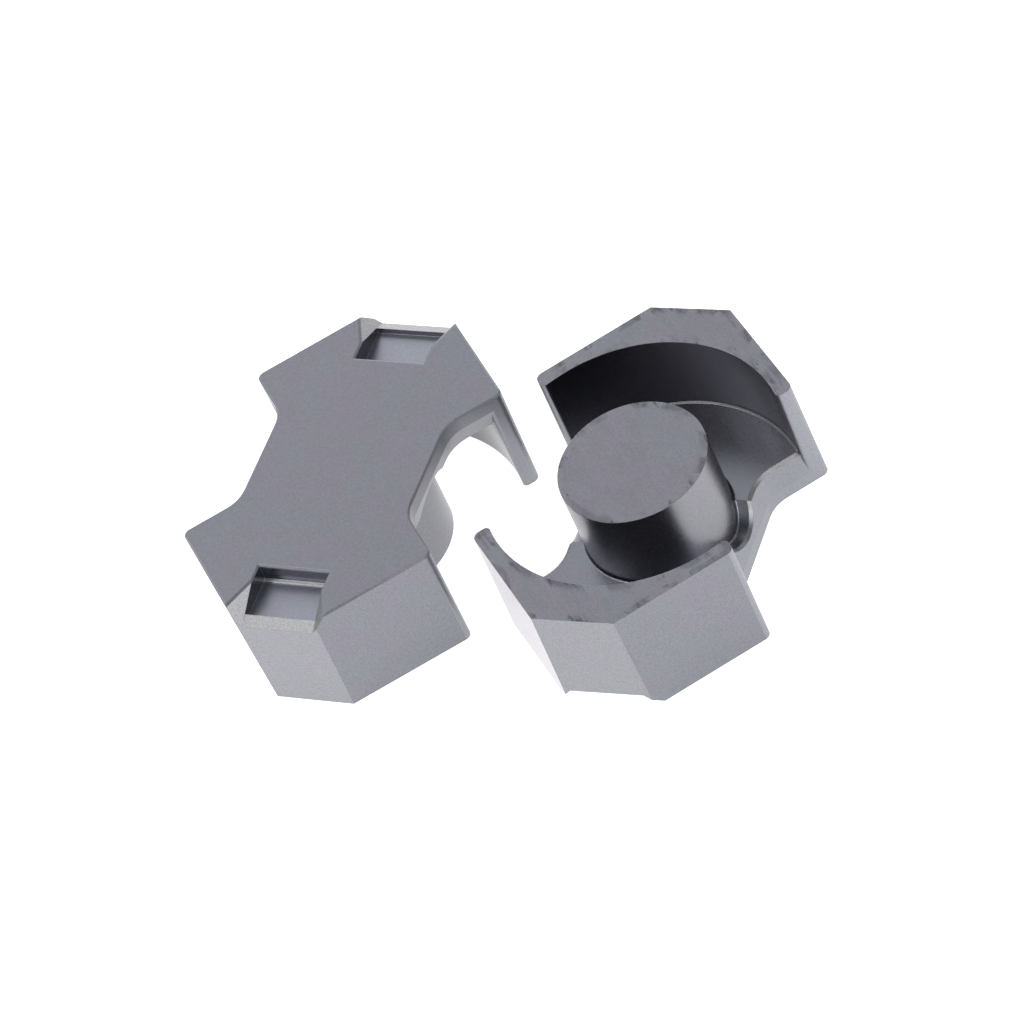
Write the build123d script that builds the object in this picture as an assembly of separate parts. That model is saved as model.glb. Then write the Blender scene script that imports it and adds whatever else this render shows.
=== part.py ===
from build123d import *

import os
from math import cos, hypot, radians, sin, sqrt, tan

# Two mating halves of a rectangular module ferrite core, size 10, with solid centre posts.
#
# Each half is one pressed and ground piece of ferrite: a square plate stood on its corner,
# with its two far corners cut off as ends, a winding well ground by a round centre post,
# two legs that close round the winding, and a clip recess in the back at either end.
# The plain half lies on its back with the well open upwards. The gapped half stands on its
# legs beside it with its back upwards, and its post is ground short for the air gap.
#
# A half is drawn in millimetres on its back: the back face is at z = 0, the ground mating
# face at z = half_height, the long axis runs along X and the waist openings face along Y.

# Outline of a half, seen from the back. The width is taken half way up the drafted sides.
square_width = 24.15
side_draft = 0.9
length_over_ends = 27.85
waist_width = 13.35
waist_corner_radius = 2.5

# Leg tips
leg_tip_past_middle = 1.88
leg_tip_radius = 0.55
leg_tip_inner_radius = 0.35

# Heights
half_height = 9.3
winding_depth = 6.48
air_gap = 0.6

# Winding well and post
leg_wall = 1.25
waist_past_post = 1.275
post_root_swell = 0.06
post_root_height = 0.2
post_root_blend = 0.5
post_foot_radius = 0.13
leg_foot_chamfer = 0.12

# Relief that frees the pressing tool along the plate's waist edge
relief_land = 1.13
relief_run = 0.55
relief_rim_chamfer = 0.2

# Dip in the well floor at either waist, where the winding's leads go out under the former
lead_dip_short_of_corner = 0.78
lead_dip_depth = 1.02

# Clip recess at either end of the back
recess_wall_from_centre = 9.55
recess_width = 5.56
recess_depth = 1.45
recess_foot_radius = 0.4
recess_brow_radius = 0.25
lip_thickness = 0.82
lip_crest_depth = 0.95
lip_edge_depth = 1.33

# Sloping facet on either side of a clip recess
facet_start_from_centre = 10.8
facet_turn = 24.5
facet_slope = 45.0

# Broken edge round the back face
back_rim_chamfer = 0.12

# How the two halves lie beside each other
centre_spacing = 21.93
centre_stagger = 1.31
half_turn_apart = 1.98

# Sizes that follow from the ones above
plate_thickness = half_height - winding_depth
well_radius = square_width / 2 - leg_wall
post_radius = waist_width / 2 - waist_past_post
post_root_radius = post_radius + post_root_swell
half_length = length_over_ends / 2
half_recess = recess_width / 2
waist_half_length = waist_width / 2 - leg_tip_past_middle * sqrt(2)
waist_straight_half = waist_half_length - waist_corner_radius * tan(radians(22.5))
lead_dip_half_width = waist_straight_half - lead_dip_short_of_corner
leg_tip_from_axis = (square_width / 2 + leg_tip_past_middle) / sqrt(2)
reach = 2 * length_over_ends


def both_sides(shape, plane):
    """A shape together with its mirror image."""
    return [shape, mirror(shape, about=plane)]


def notch_profile():
    """The open space beyond the waist on the +Y side, its walls square to the core's sides."""
    rise = reach - waist_width / 2
    corners = [
        (-waist_half_length, waist_width / 2),
        (waist_half_length, waist_width / 2),
        (waist_half_length + rise, reach),
        (-waist_half_length - rise, reach),
    ]
    face = make_face(Polyline(*corners, close=True))
    inner_corners = face.vertices().group_by(Axis.Y)[0]
    return fillet(inner_corners, waist_corner_radius)


def plan_outline():
    """Everything between the two flat ends and outside both waist notches."""
    ends = Rectangle(length_over_ends, reach)
    return ends - both_sides(notch_profile(), Plane.XZ)


def drafted_square():
    """Square block stood on its corner, its sides leaning in from the back to the mating face."""
    width_at_back = square_width + half_height * tan(radians(side_draft))
    square = Rectangle(width_at_back, width_at_back, rotation=45)
    return extrude(square, amount=half_height, taper=side_draft)


def lead_dips():
    """One shallow trough along Y. The post fills its middle, which leaves a dip at either waist."""
    radius = (lead_dip_half_width ** 2 + lead_dip_depth ** 2) / (2 * lead_dip_depth)
    trough = extrude(Plane.XZ * Circle(radius), amount=reach, both=True)
    return Pos(0, 0, plate_thickness - lead_dip_depth + radius) * trough


def plate():
    """The back plate, its edge sloping in towards the well floor and the dips."""
    slab = extrude(plan_outline(), amount=plate_thickness) & drafted_square()
    top = slab.faces().sort_by(Axis.Z)[-1]
    sloped = chamfer(top.edges(), length=relief_run, length2=plate_thickness - relief_land, reference=top)
    dipped = sloped - lead_dips()
    upward_faces = [face for face in dipped.faces() if face.normal_at().Z > 0.5]
    edges = [edge for face in upward_faces for edge in face.edges()]
    rim = [edge for edge in edges if edges.count(edge) == 1]
    return chamfer(rim, relief_rim_chamfer)


def legs():
    """Two legs as tall as the half, hollowed by the winding well, their inner tips rounded."""
    profile = plan_outline() - Circle(well_radius)
    inner_tips = profile.vertices().filter_by(lambda tip: abs(hypot(tip.X, tip.Y) - well_radius) < 0.01)
    profile = fillet(inner_tips, leg_tip_inner_radius)
    return extrude(profile, amount=half_height) & drafted_square()


def post(height):
    """The round post, height above the well floor, on a root that swells a little."""
    root_top = plate_thickness + post_root_height
    root = extrude(Circle(post_root_radius), amount=root_top)
    upright = (Align.CENTER, Align.CENTER, Align.MIN)
    blend = Pos(0, 0, root_top) * Cone(post_root_radius, post_radius, post_root_blend, align=upright)
    shaft = extrude(Circle(post_radius), amount=plate_thickness + height)
    return root + blend + shaft


def recess_cutter():
    """Clip recess at the +X end: steep back wall, flat floor, and a lip with a sloping top."""
    lip_crest = half_length - lip_thickness
    lip_slope = (lip_edge_depth - lip_crest_depth) / lip_thickness
    past_end = half_length + lip_thickness
    above_back = -recess_depth
    profile = Plane.XZ * make_face(Polyline(
        (recess_wall_from_centre, above_back),
        (recess_wall_from_centre, recess_depth),
        (lip_crest, recess_depth),
        (lip_crest, lip_crest_depth),
        (past_end, lip_edge_depth + lip_slope * lip_thickness),
        (past_end, above_back),
        close=True,
    ))
    cutter = extrude(profile, amount=half_recess, both=True)
    foot = cutter.edges().filter_by(Axis.Y).group_by(Axis.X)[0].sort_by(Axis.Z)[-1]
    return fillet(foot, recess_foot_radius)


def facet_cutter():
    """Sloping facet from the recess wall out to the core's side, at the +X end on the +Y side."""
    turn = radians(facet_turn)
    slope = radians(facet_slope)
    along = Vector(cos(turn), sin(turn), 0)
    inward = Vector(sin(turn), -cos(turn), 0)
    outward = inward * sin(slope) - Vector(0, 0, cos(slope))
    facet = Plane(origin=(facet_start_from_centre, half_recess, 0), x_dir=along, z_dir=outward)
    above = facet * Box(reach, reach, reach, align=(Align.CENTER, Align.CENTER, Align.MIN))
    beside = Pos(0, half_recess, 0) * Box(reach, reach, reach, align=(Align.CENTER, Align.MIN, Align.CENTER))
    return above & beside


def core_half(post_gap):
    """One half on its back, its post stopping post_gap short of the mating face."""
    body = plate() + legs() + post(winding_depth - post_gap)
    body = fillet(leg_tips(body), leg_tip_radius)

    end_cuts = [recess_cutter()] + both_sides(facet_cutter(), Plane.XZ)
    for cut in end_cuts:
        body -= both_sides(cut, Plane.YZ)

    body = chamfer(leg_feet(body), leg_foot_chamfer)
    body = fillet(post_foot(body), post_foot_radius)
    body = fillet(recess_brows(body), recess_brow_radius)
    back_rim = body.faces().sort_by(Axis.Z)[0].outer_wire().edges()
    return chamfer(back_rim, back_rim_chamfer)


def leg_tips(body):
    """The upright outer edges at the ends of the legs."""
    upright = body.edges().filter_by(lambda edge: edge.length > half_height - 0.1)
    return upright.filter_by(lambda edge: abs(edge.center().Y) > leg_tip_from_axis - leg_tip_radius)


def leg_feet(body):
    """The arcs where the legs' inner walls meet the well floor."""
    arcs = body.edges().filter_by(GeomType.CIRCLE)
    on_floor = arcs.filter_by(lambda edge: abs(edge.center().Z - plate_thickness) < 0.01)
    return on_floor.filter_by(lambda edge: abs(edge.radius - well_radius) < 0.01)


def post_foot(body):
    """The edges all round where the post's root meets the well floor and the dips."""
    round_faces = body.faces().filter_by(GeomType.CYLINDER)
    root_side = round_faces.filter_by(lambda face: abs(face.radius - post_root_radius) < 0.01)
    low = root_side.edges().filter_by(lambda edge: edge.center().Z < plate_thickness + 0.01)
    return low.filter_by(Axis.Z, reverse=True)


def recess_brows(body):
    """The edges at the top of the recesses' back walls."""
    across = body.edges().filter_by(Axis.Y).filter_by(lambda edge: abs(edge.center().Z) < 0.01)
    return across.filter_by(lambda edge: abs(abs(edge.center().X) - recess_wall_from_centre) < 0.01)


def main():
    os.makedirs("parts", exist_ok=True)
    plain_half = Rot(0, 0, 90) * core_half(0)
    gapped_half = Pos(-centre_spacing, -centre_stagger, half_height) * (
        Rot(0, 0, 90 - half_turn_apart) * Rot(180, 0, 0) * core_half(air_gap)
    )
    pair_box = (plain_half + gapped_half).bounding_box()
    middle = pair_box.center()
    to_origin = Pos(-middle.X, -middle.Y, -pair_box.min.Z)
    for name, half in {"plain_half": plain_half, "gapped_half": gapped_half}.items():
        placed = to_origin * half.solid()
        export_step(placed, f"parts/{name}.step")
        print(name, "volume", round(placed.volume, 1), "valid", placed.is_valid)


main()
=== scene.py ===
# %% [markdown]
# A rectangular module ferrite core comes as two halves that are pressed from dark ferrite
# powder and fired like a ceramic. The photograph shows the pair apart on a white surface:
# one half stands on its legs with its back up, the other lies open beside it.
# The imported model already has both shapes, so this script loads it and gives it its looks.

# %% Load the two halves
from math import copysign, cos, hypot, radians, sin

import bpy
from mathutils import Matrix, Vector


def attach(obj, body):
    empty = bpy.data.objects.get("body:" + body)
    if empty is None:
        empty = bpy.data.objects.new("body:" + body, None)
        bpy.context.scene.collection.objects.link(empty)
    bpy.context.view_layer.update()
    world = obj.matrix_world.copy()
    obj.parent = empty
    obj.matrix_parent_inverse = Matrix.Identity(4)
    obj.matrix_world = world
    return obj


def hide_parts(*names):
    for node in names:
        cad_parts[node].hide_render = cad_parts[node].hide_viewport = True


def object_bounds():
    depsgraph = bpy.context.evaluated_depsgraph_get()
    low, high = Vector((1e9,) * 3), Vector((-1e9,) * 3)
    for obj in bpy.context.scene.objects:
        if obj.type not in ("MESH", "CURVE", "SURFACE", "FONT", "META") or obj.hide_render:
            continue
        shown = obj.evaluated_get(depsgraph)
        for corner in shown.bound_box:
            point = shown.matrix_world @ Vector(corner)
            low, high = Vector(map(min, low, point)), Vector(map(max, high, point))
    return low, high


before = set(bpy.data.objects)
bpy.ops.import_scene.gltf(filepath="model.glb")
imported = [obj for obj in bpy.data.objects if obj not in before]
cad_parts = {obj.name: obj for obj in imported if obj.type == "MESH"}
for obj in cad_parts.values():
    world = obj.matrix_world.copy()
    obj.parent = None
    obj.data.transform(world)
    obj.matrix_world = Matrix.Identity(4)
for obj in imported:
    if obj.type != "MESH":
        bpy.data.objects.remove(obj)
cad_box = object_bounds()
MM = 0.001
print("core box in mm:", [[round(c / MM, 2) for c in corner] for corner in cad_box])

# %% [markdown]
# The camera stands where the photographer's did. A long lens looks down from half way up,
# and the picture is turned on its side a little, so both halves lie on a diagonal.
# A target and a track constraint could aim it too, but a roll is plainer as three vectors.

# %% Camera
lens_mm = 198.0
sensor_width_mm = 36
nearest_seen = 10 * MM
camera_distance = 400 * MM
camera_azimuth = radians(37.71)
camera_elevation = radians(45.53)
camera_roll = radians(25.92)
aim = Vector((-1.99, 3.03, 0)) * MM

forward = Vector((
    -sin(camera_azimuth) * cos(camera_elevation),
    cos(camera_azimuth) * cos(camera_elevation),
    -sin(camera_elevation),
))
level_right = Vector((cos(camera_azimuth), sin(camera_azimuth), 0))
level_up = level_right.cross(forward)
image_right = level_right * cos(camera_roll) - level_up * sin(camera_roll)
image_up = level_right * sin(camera_roll) + level_up * cos(camera_roll)

camera_data = bpy.data.cameras.new("camera")
camera_data.lens = lens_mm
camera_data.sensor_width = sensor_width_mm
camera_data.clip_start = nearest_seen
camera = bpy.data.objects.new("camera", camera_data)
bpy.context.scene.collection.objects.link(camera)
turn = Matrix((image_right, image_up, -forward)).transposed()
camera.matrix_world = Matrix.Translation(aim - forward * camera_distance) @ turn.to_4x4()
bpy.context.scene.camera = camera
print("camera at mm", [round(c / MM, 1) for c in camera.location])

# %% [markdown]
# Every finish here starts from the same two nodes, a Principled BSDF and an output, so one
# helper makes them. The second helper adds a node, sets it up, and gives each input that
# is named either a plain value or a link from another node. The rest are short ways to write
# the nodes that come up again and again.

# %% Helpers for materials


def new_material(name):
    """A node material that holds only a Principled BSDF joined to its output."""
    material = bpy.data.materials.new(name)
    material.use_nodes = True
    tree = material.node_tree
    tree.nodes.clear()
    shader = tree.nodes.new("ShaderNodeBsdfPrincipled")
    output = tree.nodes.new("ShaderNodeOutputMaterial")
    tree.links.new(shader.outputs["BSDF"], output.inputs["Surface"])
    print("material", name)
    return material, tree, shader


def add_node(tree, kind, inputs=None, **settings):
    """A new node with its settings, and a value or a link for each input named."""
    node = tree.nodes.new(kind)
    for setting, value in settings.items():
        setattr(node, setting, value)
    for socket, value in (inputs or {}).items():
        if isinstance(value, bpy.types.NodeSocket):
            tree.links.new(value, node.inputs[socket])
        else:
            node.inputs[socket].default_value = value
    return node


def maths(tree, operation, first, second):
    """The result of one sum on two values or links."""
    return add_node(tree, "ShaderNodeMath", {0: first, 1: second}, operation=operation).outputs[0]


def spread(tree, value, low, high, to_low=0.0, to_high=1.0, soft=False):
    """A value stretched from one range to another, and held inside it."""
    kind = "SMOOTHSTEP" if soft else "LINEAR"
    inputs = {
        "Value": value, "From Min": low, "From Max": high, "To Min": to_low, "To Max": to_high,
    }
    return add_node(tree, "ShaderNodeMapRange", inputs, interpolation_type=kind).outputs[0]


def scaled(tree, vector, scale):
    """A vector or a colour times a number or a link."""
    inputs = {0: vector, "Scale": scale}
    return add_node(tree, "ShaderNodeVectorMath", inputs, operation="SCALE").outputs[0]


def dot_product(tree, first, second):
    """How far two directions agree: 1 where they are the same, 0 where they are square."""
    inputs = {0: first, 1: second}
    return add_node(tree, "ShaderNodeVectorMath", inputs, operation="DOT_PRODUCT").outputs["Value"]


# The Mix node keeps a set of sockets for each kind of data, and these are its colour ones.
COLOR_A, COLOR_B, COLOR_RESULT = 6, 7, 2


def mix_colors(tree, share, first, second):
    """Two colours mixed, share 0 giving the first."""
    inputs = {0: share, COLOR_A: first, COLOR_B: second}
    return add_node(tree, "ShaderNodeMix", inputs, data_type="RGBA").outputs[COLOR_RESULT]


# %% [markdown]
# The core lies on a white sheet lit from below, as on a light table, so hardly a shadow
# shows and the sides mirror pure white. The sheet takes the lamps' light as paint does, and
# keeps a trace of the shadow. Light Path adds the light from below only where the camera or
# a reflection meets the sheet, so the background turns white while the lamps stay low.

# %% White floor
floor_size = 3.0
floor_white = 0.65
floor_lift = 1.06

bpy.ops.mesh.primitive_plane_add(size=floor_size, location=(0, 0, 0))
floor = bpy.context.object
floor.name = "floor"


def seen_directly(tree):
    """1 for camera, glossy and transmission rays, else 0."""
    rays = add_node(tree, "ShaderNodeLightPath").outputs
    camera_or_gloss = maths(tree, "MAXIMUM", rays["Is Camera Ray"], rays["Is Glossy Ray"])
    return maths(tree, "MAXIMUM", camera_or_gloss, rays["Is Transmission Ray"])


floor_material, tree, shader = new_material("white_sheet")
shader.inputs["Base Color"].default_value = (floor_white, floor_white, floor_white, 1)
shader.inputs["Roughness"].default_value = 0.95
shader.inputs["Specular IOR Level"].default_value = 0.1
lift = maths(tree, "MULTIPLY", seen_directly(tree), floor_lift)
glow = add_node(tree, "ShaderNodeEmission", {"Color": (1, 1, 1, 1), "Strength": lift})
both = add_node(tree, "ShaderNodeAddShader", {0: shader.outputs["BSDF"], 1: glow.outputs[0]})
tree.links.new(both.outputs[0], tree.nodes["Material Output"].inputs["Surface"])
floor.data.materials.append(floor_material)
print("floor", floor_size, "m wide")

# %% [markdown]
# A small grey thing in a product photograph stands in a tent of white cloth: the light is
# brightest low down at the back, where the cloth hangs, and fades overhead and towards the
# camera, where the tent is open. A world shader does the same with two measures of each
# direction: its height, drawn by a colour ramp, and how far it points to the back. The dark
# well depends on this, as its walls hide the low, bright part of the tent from its floor.

# %% White surround
horizon_light = 1.85
share_at_height = {0.0: 1.0, 0.40: 0.95, 0.58: 0.78, 0.71: 0.52, 0.85: 0.28, 1.0: 0.20}
tent_tone = (0.98, 0.98, 1.0, 1)
tent_back = (-0.61, 0.79, 0.0)
front_share = 0.22
front_ends = 0.15
back_begins = 0.72

world = bpy.data.worlds.new("white_tent")
bpy.context.scene.world = world
world.use_nodes = True
tree = world.node_tree
background = tree.nodes["Background"]
background.inputs["Color"].default_value = tent_tone
direction = add_node(tree, "ShaderNodeTexCoord").outputs["Generated"]
height = add_node(tree, "ShaderNodeSeparateXYZ", {0: direction}).outputs["Z"]
fade = add_node(tree, "ShaderNodeValToRGB", {"Fac": height})
stops = fade.color_ramp.elements
for at_height, share in share_at_height.items():
    if at_height == 0.0:
        stop = stops[0]
    elif at_height == 1.0:
        stop = stops[-1]
    else:
        stop = stops.new(at_height)
    stop.color = (share, share, share, 1)
to_back = dot_product(tree, direction, tent_back)
back_share = spread(tree, to_back, front_ends, back_begins, front_share, 1.0, soft=True)
tent_share = maths(tree, "MULTIPLY", fade.outputs["Color"], back_share)
tent = maths(tree, "MULTIPLY", tent_share, horizon_light)
seen = add_node(tree, "ShaderNodeLightPath").outputs["Is Camera Ray"]
level = add_node(tree, "ShaderNodeMix", {"Factor": seen, "A": tent, "B": 1.0}).outputs[0]
tree.links.new(level, background.inputs["Strength"])
bpy.context.scene.view_settings.view_transform = "Standard"
print("tent light by height:", {h: round(s * horizon_light, 2) for h, s in share_at_height.items()})

# %% [markdown]
# Three soft boxes give the shine its shape. One hangs high up on the left, and lights the
# lips of the clip recesses. One stands lower at the front, and shows in every small rounding
# that faces it. A wide one on the right, its face less bright, picks out the facets and the
# broken edges.

# %% Soft boxes
box_distance = 0.6


def soft_box(name, direction, size, power):
    """A square area lamp that looks at the core from a direction, unseen by the camera."""
    lamp_data = bpy.data.lights.new(name, "AREA")
    lamp_data.size = size
    lamp_data.energy = power
    lamp = bpy.data.objects.new(name, lamp_data)
    bpy.context.scene.collection.objects.link(lamp)
    direction = Vector(direction).normalized()
    lamp.location = direction * box_distance
    lamp.rotation_euler = direction.to_track_quat("Z", "Y").to_euler()
    lamp.visible_camera = False
    print(name, "at", [round(c, 2) for c in lamp.location], "m")


soft_box("high_left_box", direction=(-0.43, -0.15, 0.89), size=0.28, power=0.72)
soft_box("front_box", direction=(-0.43, -0.80, 0.42), size=0.24, power=0.50)
soft_box("right_box", direction=(0.70, -0.22, 0.68), size=0.40, power=1.15)

# %% [markdown]
# Fired ferrite is a dense ceramic that hardly scatters light: like graphite, it is black in
# its own shade and grey where it mirrors something bright. So its colour is set as a metal's
# is, by what it reflects. From a hand's breadth away its crystal grain is a faint sparkle
# over a soft mottling, bluish here and lilac there.
# Noise in the object's own space gives both, and never slides or stretches.
# Several finishes need it in different strengths, so it is made once, as a node group.
# The noise seldom leaves the middle of its range, so only that middle is stretched out.

# %% Grain group
NOISE_LOW, NOISE_HIGH = 0.3, 0.7
tone_change = (0.38, 0.62)


def new_group(name, inputs, outputs):
    """An empty shader node group. Inputs are (name, kind, default) and outputs (name, kind)."""
    group = bpy.data.node_groups.new(name, "ShaderNodeTree")
    for socket, kind, default in inputs:
        group.interface.new_socket(socket, in_out="INPUT", socket_type=kind).default_value = default
    for socket, kind in outputs:
        group.interface.new_socket(socket, in_out="OUTPUT", socket_type=kind)
    entry = group.nodes.new("NodeGroupInput").outputs
    leave = group.nodes.new("NodeGroupOutput").inputs
    return group, entry, leave


def point_in_mm(tree):
    """The place on the surface in the object's own millimetres."""
    place = add_node(tree, "ShaderNodeTexCoord").outputs["Object"]
    return scaled(tree, place, 1 / MM)


FLOAT, COLOR, VECTOR = "NodeSocketFloat", "NodeSocketColor", "NodeSocketVector"

grain_group, entry, leave = new_group(
    "fired_grain",
    [
        ("Bluish", COLOR, (0.242, 0.255, 0.283, 1)),
        ("Lilac", COLOR, (0.256, 0.246, 0.284, 1)),
        ("Grains per mm", FLOAT, 8.0),
        ("Patches per mm", FLOAT, 0.4),
        ("Sparkle", FLOAT, 0.13),
    ],
    [("Color", COLOR), ("Height", FLOAT)],
)
point = point_in_mm(grain_group)
fine = add_node(grain_group, "ShaderNodeTexNoise", {
    "Vector": point, "Scale": entry["Grains per mm"], "Detail": 2.0, "Roughness": 0.6,
}).outputs["Fac"]
patches = add_node(grain_group, "ShaderNodeTexNoise", {
    "Vector": point, "Scale": entry["Patches per mm"], "Detail": 3.0, "Roughness": 0.6,
}).outputs["Fac"]
tone = spread(grain_group, patches, *tone_change)
tint = mix_colors(grain_group, tone, entry["Bluish"], entry["Lilac"])
swing = spread(grain_group, fine, NOISE_LOW, NOISE_HIGH, -1.0, 1.0)
brightness = maths(grain_group, "ADD", maths(grain_group, "MULTIPLY", swing, entry["Sparkle"]), 1.0)
grain_group.links.new(scaled(grain_group, tint, brightness), leave["Color"])
grain_group.links.new(fine, leave["Height"])
print("group", grain_group.name, "puts out", [s.name for s in leave if s.name])

# %% [markdown]
# No edge on a pressed part is a perfect knife. Handling rubs each one to a tiny radius that catches
# the light as a thin line. The Bevel node rounds the normal there without new faces, and how far that
# normal leans tells where the edge is. Noise breaks the line up. The same edge mask is used to paint
# the edges a lighter grey, a painted highlight, and to place chips on the ground faces.

# %% Edge group for wear and the painted edge highlight
flat_agreement = 0.99
edge_agreement = 0.88
least_wear_and_highlight = 0.5

edge_group, entry, leave = new_group(
    "edge_wear_and_highlight",
    [("Edge Radius mm", FLOAT, 0.07), ("Gaps per mm", FLOAT, 2.5)],
    [("Wear And Highlight", FLOAT), ("Normal", VECTOR)],
)
flat_normal = add_node(edge_group, "ShaderNodeNewGeometry").outputs["Normal"]
radius = maths(edge_group, "MULTIPLY", entry["Edge Radius mm"], MM)
rounded = add_node(edge_group, "ShaderNodeBevel", {"Radius": radius}, samples=4).outputs["Normal"]
agreement = dot_product(edge_group, flat_normal, rounded)
near_edge = spread(edge_group, agreement, flat_agreement, edge_agreement)
broken = add_node(edge_group, "ShaderNodeTexNoise", {
    "Vector": point_in_mm(edge_group), "Scale": entry["Gaps per mm"], "Detail": 1.0, "Roughness": 0.5,
}).outputs["Fac"]
gaps = spread(edge_group, broken, low=0.35, high=0.6, to_low=least_wear_and_highlight, to_high=1.0)
wear_and_highlight_mask = maths(edge_group, "MULTIPLY", near_edge, gaps)
edge_group.links.new(wear_and_highlight_mask, leave["Wear And Highlight"])
edge_group.links.new(rounded, leave["Normal"])
print("group", edge_group.name, "puts out", [s.name for s in leave if s.name])

# %% [markdown]
# All of a core half is the same ferrite, but each kind of surface was left by another tool.
# This helper lays the ferrite down once: grain for colour and bump, edges rounded in the normal and
# painted lighter as a painted highlight, and a roughness that follows the grain. Each finish then
# only says how it differs.

# %% The ferrite itself
# The light grey that the edges are painted with: a painted highlight along each edge.
edge_highlight_tone = (0.62, 0.62, 0.66, 1)
roughness_swing = 0.05
MICROMETRE = MM / 1000


def ferrite(
    name, bluish, lilac, roughness, metallic=0.93, sparkle=0.13, grains=8.0, relief_um=1.5, edge_highlight=0.2,
):
    """A ferrite finish. Colours are the two tones of its mottling, relief_um the grain's height, and
    the edge share how far the edges are painted lighter as a highlight.
    """
    material, tree, shader = new_material(name)
    grain = add_node(tree, "ShaderNodeGroup", node_tree=grain_group)
    grain.inputs["Bluish"].default_value = (*bluish, 1)
    grain.inputs["Lilac"].default_value = (*lilac, 1)
    grain.inputs["Grains per mm"].default_value = grains
    grain.inputs["Sparkle"].default_value = sparkle
    edges = add_node(tree, "ShaderNodeGroup", node_tree=edge_group)
    # The edges are painted lighter toward that grey, a painted highlight that noise breaks up.
    highlight_share = maths(tree, "MULTIPLY", edges.outputs["Wear And Highlight"], edge_highlight)
    highlit_edge_color = mix_colors(tree, highlight_share, grain.outputs["Color"], edge_highlight_tone)
    smoothest, roughest = roughness - roughness_swing, roughness + roughness_swing
    rough = spread(tree, grain.outputs["Height"], NOISE_LOW, NOISE_HIGH, smoothest, roughest)
    bump = add_node(tree, "ShaderNodeBump", {
        "Strength": 1.0, "Distance": relief_um * MICROMETRE,
        "Height": grain.outputs["Height"], "Normal": edges.outputs["Normal"],
    })
    tree.links.new(highlit_edge_color, shader.inputs["Base Color"])
    tree.links.new(rough, shader.inputs["Roughness"])
    tree.links.new(bump.outputs["Normal"], shader.inputs["Normal"])
    shader.inputs["Metallic"].default_value = metallic
    return material


# %% [markdown]
# The outer sides slid along the wall of the die as the part was pressed, which leaves a smooth skin
# with a slight shine. The two cut ends are painted a shade paler than the sides, as painted light for
# the brighter light that falls on them. The back lay against the flat punch and is a little duller.
# The floors of the clip recesses are paler than both. The waist openings and the leg tips are duller
# too, and handling rubs the broken edge round the back matt, so neither shows a clear image of the
# half beside it.

# %% Pressed skins
back_tones = {"bluish": (0.242, 0.255, 0.283), "lilac": (0.256, 0.246, 0.284)}
lilac_shine = (1.0, 0.95, 1.0, 1)

pressed_side = ferrite(
    "pressed_side", bluish=(0.214, 0.228, 0.247), lilac=(0.223, 0.217, 0.249),
    roughness=0.13, relief_um=0.8,
)
pressed_side.node_tree.nodes["Principled BSDF"].inputs["Specular Tint"].default_value = lilac_shine
# The ends are painted paler than the sides: painted light for the brighter light that falls on the
# ends.
pressed_end_painted_lighter = ferrite(
    "pressed_end_painted_lighter", bluish=(0.262, 0.272, 0.292), lilac=(0.270, 0.263, 0.295),
    roughness=0.24, relief_um=1.0,
)
pressed_back = ferrite("pressed_back", **back_tones, roughness=0.44)
recess_floor = ferrite(
    "recess_floor", bluish=(0.335, 0.355, 0.405), lilac=(0.345, 0.340, 0.405), roughness=0.36,
)
waist_edge = ferrite(
    "waist_edge", bluish=(0.285, 0.298, 0.323), lilac=(0.294, 0.287, 0.325), roughness=0.38,
)
rubbed_rim = ferrite(
    "rubbed_rim", bluish=(0.235, 0.248, 0.275), lilac=(0.248, 0.240, 0.276),
    roughness=0.62, metallic=0.90,
)

# %% [markdown]
# Inside the well nothing touched the skin after the polished inner punch drew out of it. It has the
# most lustre, so the round walls mirror the dark ferrite across from them and look almost black,
# while the post mirrors the white sheet through the openings. The floor is rougher, so it blurs the
# far wall and the tent above it into a soft change of shade. The legs' inner walls are painted darker
# than the post, a painted shade that deepens the dark of the well.

# %% Well skin
# Inside the well the painted edge highlight is fainter.
well_skin = {"metallic": 0.99, "edge_highlight": 0.1}

post_side = ferrite(
    "post_side", bluish=(0.230, 0.236, 0.256), lilac=(0.236, 0.230, 0.258),
    roughness=0.31, relief_um=0.7, **well_skin,
)
# The legs' inner walls are painted darker: painted shade for the dark inside the well.
leg_inside_painted_dark = ferrite(
    "leg_inside_painted_dark", bluish=(0.145, 0.145, 0.162), lilac=(0.150, 0.143, 0.162),
    roughness=0.22, relief_um=0.7, **well_skin,
)
well_floor = ferrite(
    "well_floor", bluish=(0.275, 0.293, 0.327), lilac=(0.284, 0.280, 0.327),
    roughness=0.32, relief_um=0.4, **well_skin,
)

# %% [markdown]
# The lips and the facets beside the clip recesses, and the rim round the well floor, are
# slopes that the punch shaped with a coarser face. They are paler, rough and speckled.

# %% Speckled slopes
speckled_slope = ferrite(
    "speckled_slope", bluish=(0.345, 0.355, 0.360), lilac=(0.360, 0.350, 0.372),
    roughness=0.42, metallic=0.85, sparkle=0.30, grains=9.0, relief_um=3.0,
)

# %% [markdown]
# The legs and the post are ground flat so that the two halves meet without a gap. The wheel ran along
# one pair of the core's sides. It leaves fine lines, and it breaks small chips out of the rims,
# longer in its own direction. A chip shows where the edge is near and a noise is high, so the edge
# group is used again with a wider reach. A slower noise makes soft dark smudges along the rims, and
# lets the chips gather in the same stretches.

# %% Ground faces
wheel_angle = radians(-45)
chip_reach_mm = 1.1
smudge_in_middle, smudge_at_rim = 0.06, 0.75

ground_face = ferrite("ground_face", **back_tones, roughness=0.44, edge_highlight=0.0)
tree = ground_face.node_tree
shader = tree.nodes["Principled BSDF"]
plain_color = shader.inputs["Base Color"].links[0].from_socket
plain_normal = shader.inputs["Normal"].links[0].from_socket


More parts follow.
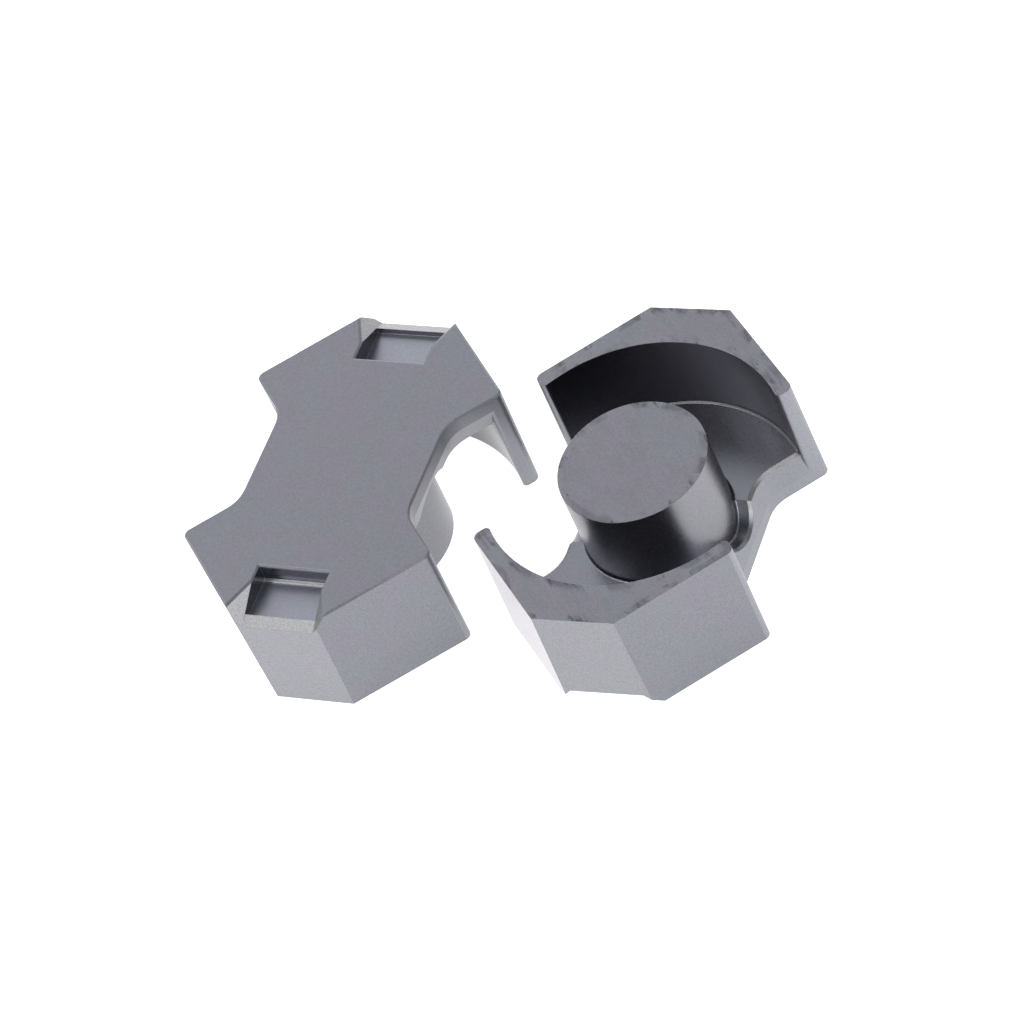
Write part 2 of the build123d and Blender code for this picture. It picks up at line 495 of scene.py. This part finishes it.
def wheel_noise(tree, scale, stretch):
    """Noise in the half's millimetres, drawn out along the way the wheel ran."""
    along = add_node(tree, "ShaderNodeMapping", {
        "Vector": point_in_mm(tree), "Rotation": (0, 0, wheel_angle), "Scale": (stretch, 1, 1),
    }, vector_type="TEXTURE").outputs[0]
    noise = {"Vector": along, "Scale": scale, "Detail": 2.0}
    return add_node(tree, "ShaderNodeTexNoise", noise).outputs["Fac"]


lines = wheel_noise(tree, scale=9.0, stretch=14.0)
rim = add_node(tree, "ShaderNodeGroup", node_tree=edge_group)
rim.inputs["Edge Radius mm"].default_value = chip_reach_mm
near_rim = spread(tree, rim.outputs["Wear And Highlight"], low=0.02, high=0.15)
stains = spread(tree, wheel_noise(tree, scale=0.9, stretch=2.0), low=0.46, high=0.62, soft=True)
chips = spread(tree, wheel_noise(tree, scale=2.6, stretch=3.2), low=0.585, high=0.62, soft=True)
chipped_stretch = maths(tree, "MULTIPLY", near_rim, spread(tree, stains, low=0.0, high=0.15))
rim_chips = maths(tree, "MULTIPLY", chips, chipped_stretch)
smudge_strength = spread(tree, near_rim, 0.0, 1.0, smudge_in_middle, smudge_at_rim)
smudges = maths(tree, "MULTIPLY", stains, smudge_strength)
print("chips within", chip_reach_mm, "mm of a rim")

# %% [markdown]
# The chips, smudges and lines then go over the plain ferrite: darker colour for the first
# two, a faint change of brightness for the lines, and a small hollow for each chip.

# %% Chips and lines over the ground ferrite
line_swing = 0.03
smudge_tone = (0.09, 0.09, 0.105, 1)
chip_tone = (0.04, 0.04, 0.05, 1)
chip_cover = 0.9
chip_depth = 0.02 * MM

line_shade = spread(tree, lines, NOISE_LOW, NOISE_HIGH, 1 - line_swing, 1 + line_swing)
lined = scaled(tree, plain_color, line_shade)
smudged = mix_colors(tree, smudges, lined, smudge_tone)
chipped = mix_colors(tree, maths(tree, "MULTIPLY", rim_chips, chip_cover), smudged, chip_tone)
sunk = add_node(tree, "ShaderNodeBump", {
    "Strength": 1.0, "Distance": chip_depth,
    "Height": maths(tree, "SUBTRACT", 1.0, rim_chips), "Normal": plain_normal,
})
tree.links.new(chipped, shader.inputs["Base Color"])
tree.links.new(sunk.outputs["Normal"], shader.inputs["Normal"])
print("chips", round(chip_depth / MM, 3), "mm deep")

# %% [markdown]
# A finish belongs to a kind of face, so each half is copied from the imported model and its
# faces are sorted. The sorting uses the core's own directions: along its length, across it,
# and up from its back. A painted mask would need far more points than the flat faces have.
# A half looks the same after half a turn, so the middle of its points is its own middle.

# %% Each half's own directions
half_height = cad_box[1][2]
plan_of_half = {
    "plain_half": {"turn": 0.0, "back_up": False},
    "gapped_half": {"turn": radians(-1.98), "back_up": True},
}


def plan_middle(node):
    """The middle of a packed half, seen from above."""
    points = [node.matrix_world @ vertex.co for vertex in node.data.vertices]
    across = [point.x for point in points]
    along = [point.y for point in points]
    return Vector((min(across) + max(across), min(along) + max(along), 0)) / 2


def own_frame(name):
    """Turns the scene's frame into a half's own: x across, y along it, z up from its back."""
    middle = plan_middle(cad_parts[name])
    plan = plan_of_half[name]
    to_own = Matrix.Rotation(-plan["turn"], 4, "Z") @ Matrix.Translation(-middle)
    if plan["back_up"]:
        to_own = Matrix.Diagonal((1, 1, -1, 1)) @ Matrix.Translation((0, 0, -half_height)) @ to_own
    print(name, "middle at mm", [round(c / MM, 3) for c in middle])
    return to_own


# %% [markdown]
# Two things tell one kind of face from another: where its middle lies and how its normal
# leans. Places are counted from the half's middle and from its back, and most of them lie
# between two sizes of the core, so that rounding never puts a face on the wrong side.

# %% Measures that part the faces
post_radius = 5.4 * MM
post_reach = 5.6 * MM
well_reach = 11.0 * MM
brow_from_middle = 9.2 * MM
recess_from_middle = 9.6 * MM
end_from_middle = 13.8 * MM

back_depth = 0.05 * MM
broken_rim_depth = 0.1 * MM
brow_depth = 0.26 * MM
recess_depth = 1.45 * MM
facet_depth = 2.6 * MM
relief_rim_low, relief_rim_high = 2.3 * MM, 3.1 * MM
post_allowance = 0.7 * MM
lowest_ground_face = half_height - post_allowance

LEVEL = 0.99
FACET_LEVEL = 0.97
NEARLY_LEVEL = 0.95
SLOPING = 0.5
STEEP = 0.3
LEANING = 0.02
FACING_INWARDS = -0.9
SQUARE_TO_DIAGONAL = 0.995
print("ground faces lie over", round(lowest_ground_face / MM, 2), "mm above the back")

# %% [markdown]
# The order of the questions matters: the flat ground faces and the back come first, then
# the slopes, then the round walls and the ends. What is left is an outer side if it faces
# square along a diagonal of the core or lines a clip recess, and else part of a waist opening
# or the round end of a leg.

# %% Which finish a face gets
finishes = [
    pressed_side, pressed_end_painted_lighter, pressed_back, recess_floor, waist_edge, rubbed_rim, post_side,
    leg_inside_painted_dark, well_floor, speckled_slope, ground_face,
]
print(len(finishes), "finishes")


def finish_of(place, normal):
    """The finish for a face, from its middle and its normal in the half's own frame."""
    from_middle = hypot(place.x, place.y)
    outwards = (place.x * normal.x + place.y * normal.y) / max(from_middle, MM)
    past_recess_wall = abs(place.y) > recess_from_middle
    on_brow = brow_from_middle < abs(place.y) < recess_from_middle and place.z < brow_depth
    on_relief_rim = relief_rim_low < place.z < relief_rim_high and from_middle > post_reach
    if normal.z > LEVEL and place.z > lowest_ground_face:
        return ground_face
    if normal.z < -LEVEL and place.z < back_depth or normal.z < -LEANING and on_brow:
        return pressed_back
    if normal.z < -LEVEL and past_recess_wall:
        return recess_floor
    if -LEVEL < normal.z < -STEEP and place.z < broken_rim_depth:
        return rubbed_rim
    if -FACET_LEVEL < normal.z < -SLOPING and past_recess_wall and place.z < facet_depth:
        return speckled_slope
    if normal.z > NEARLY_LEVEL and from_middle < well_reach:
        return well_floor
    if SLOPING < normal.z < NEARLY_LEVEL and on_relief_rim:
        return speckled_slope
    if normal.z > SLOPING and place.z < relief_rim_high:
        return well_floor
    if from_middle < post_reach:
        return post_side
    if abs(normal.z) < SLOPING and from_middle < well_reach and outwards < FACING_INWARDS:
        return leg_inside_painted_dark
    if abs(normal.y) > LEVEL and abs(place.y) > end_from_middle:
        return pressed_end_painted_lighter
    away = Vector((copysign(1, place.x), copysign(1, place.y), 0)).normalized()
    in_recess = abs(place.y) > brow_from_middle and place.z < recess_depth
    if abs(normal.dot(away)) > SQUARE_TO_DIAGONAL or in_recess:
        return pressed_side
    return waist_edge


# %% [markdown]
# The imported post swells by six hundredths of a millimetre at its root, which bends its
# mirror image there into a dark band. The photograph shows no such band, so the copy's root
# is drawn in to the post's own radius, and its normals are turned straight outwards.

# %% A straight post
least_swell = 0.001 * MM
most_swell = 0.062 * MM
most_lean = 0.2


def straighten_post(mesh, to_own):
    """Draws the post's root in to the post's radius and levels the normals round it."""
    from_own = to_own.inverted()
    normals = [corner.vector.copy() for corner in mesh.corner_normals]
    for face in mesh.polygons:
        place = to_own @ face.center
        up = (to_own.to_3x3() @ face.normal).z
        if hypot(place.x, place.y) < post_reach and abs(up) < most_lean:
            for corner in face.loop_indices:
                at = to_own @ mesh.vertices[mesh.loops[corner].vertex_index].co
                normals[corner] = (from_own.to_3x3() @ Vector((at.x, at.y, 0))).normalized()
    moved = 0
    for vertex in mesh.vertices:
        at = to_own @ vertex.co
        out = hypot(at.x, at.y)
        if least_swell < out - post_radius < most_swell:
            vertex.co = from_own @ Vector((at.x * post_radius / out, at.y * post_radius / out, at.z))
            moved += 1
    mesh.normals_split_custom_set(normals)
    return moved


# %% [markdown]
# Each copy keeps the half's form. It stands for the imported node, which is hidden, sits where the
# node sits and hangs from the root body, and it carries all the finishes.

# %% Dress the halves


def dressed_half(name):
    """A copy of a packed half with its faces sorted into finishes."""
    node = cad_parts[name]
    to_own = own_frame(name) @ node.matrix_world
    turn_only = to_own.to_3x3()
    mesh = node.data.copy()
    mesh.materials.clear()
    for finish in finishes:
        mesh.materials.append(finish)
    counts = dict.fromkeys(finishes, 0)
    for face in mesh.polygons:
        finish = finish_of(to_own @ face.center, turn_only @ face.normal)
        face.material_index = finishes.index(finish)
        counts[finish] += 1
    moved = straighten_post(mesh, to_own)
    piece = bpy.data.objects.new(name.replace("half", "core_half"), mesh)
    piece.matrix_world = node.matrix_world
    bpy.context.scene.collection.objects.link(piece)
    print(piece.name, {finish.name: count for finish, count in counts.items()}, "root points", moved)
    return piece


for name in plan_of_half:
    piece = dressed_half(name)
    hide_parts(name)
    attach(piece, "root")
